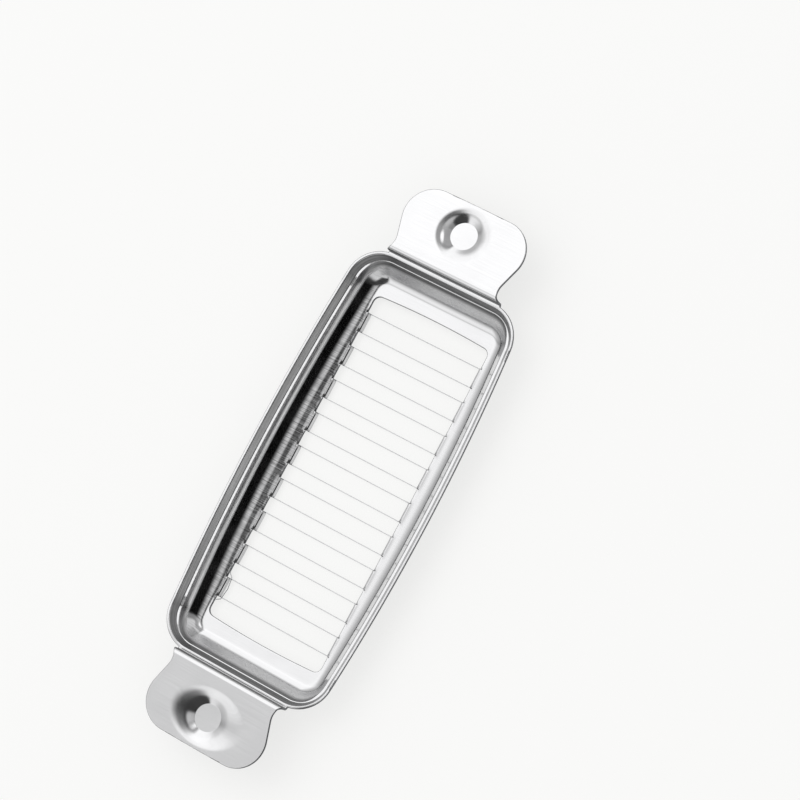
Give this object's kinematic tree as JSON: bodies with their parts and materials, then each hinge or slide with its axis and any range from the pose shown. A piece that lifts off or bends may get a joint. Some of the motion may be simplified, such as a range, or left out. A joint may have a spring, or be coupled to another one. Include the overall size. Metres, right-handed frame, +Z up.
{
  "type": "wire butter slicer",
  "caption": "Oblong pressed stainless tray frame with a thumb tab at each end and parallel cutting wires across its window, pressed down over a block to cut pats.",
  "frame": {"origin": "centre of the window, on the plane of the tongue tips that the slicer stands on", "axes": "+X along the length towards one thumb tab, +Y across, +Z up out of the tray's open side"},
  "size_m": [0.2034, 0.0702, 0.0176],
  "materials": {
    "stainless_sheet": "bright rolled stainless sheet with fine lengthwise lines",
    "stainless_wire": "smooth drawn stainless wire"
  },
  "bodies": {
    "root": {"pressed_frame": "stainless_sheet", "cutting_wire_01": "stainless_wire", "cutting_wire_02": "stainless_wire", "cutting_wire_03": "stainless_wire", "cutting_wire_04": "stainless_wire", "cutting_wire_05": "stainless_wire", "cutting_wire_06": "stainless_wire", "cutting_wire_07": "stainless_wire", "cutting_wire_08": "stainless_wire", "cutting_wire_09": "stainless_wire", "cutting_wire_10": "stainless_wire", "cutting_wire_11": "stainless_wire", "cutting_wire_12": "stainless_wire", "cutting_wire_13": "stainless_wire", "cutting_wire_14": "stainless_wire", "cutting_wire_15": "stainless_wire", "cutting_wire_16": "stainless_wire", "cutting_wire_17": "stainless_wire", "cutting_wire_18": "stainless_wire", "wire_returns_left": "stainless_wire", "wire_returns_right": "stainless_wire", "wire_tail_start": "stainless_wire", "wire_tail_end": "stainless_wire"}
  },
  "joints": []
}
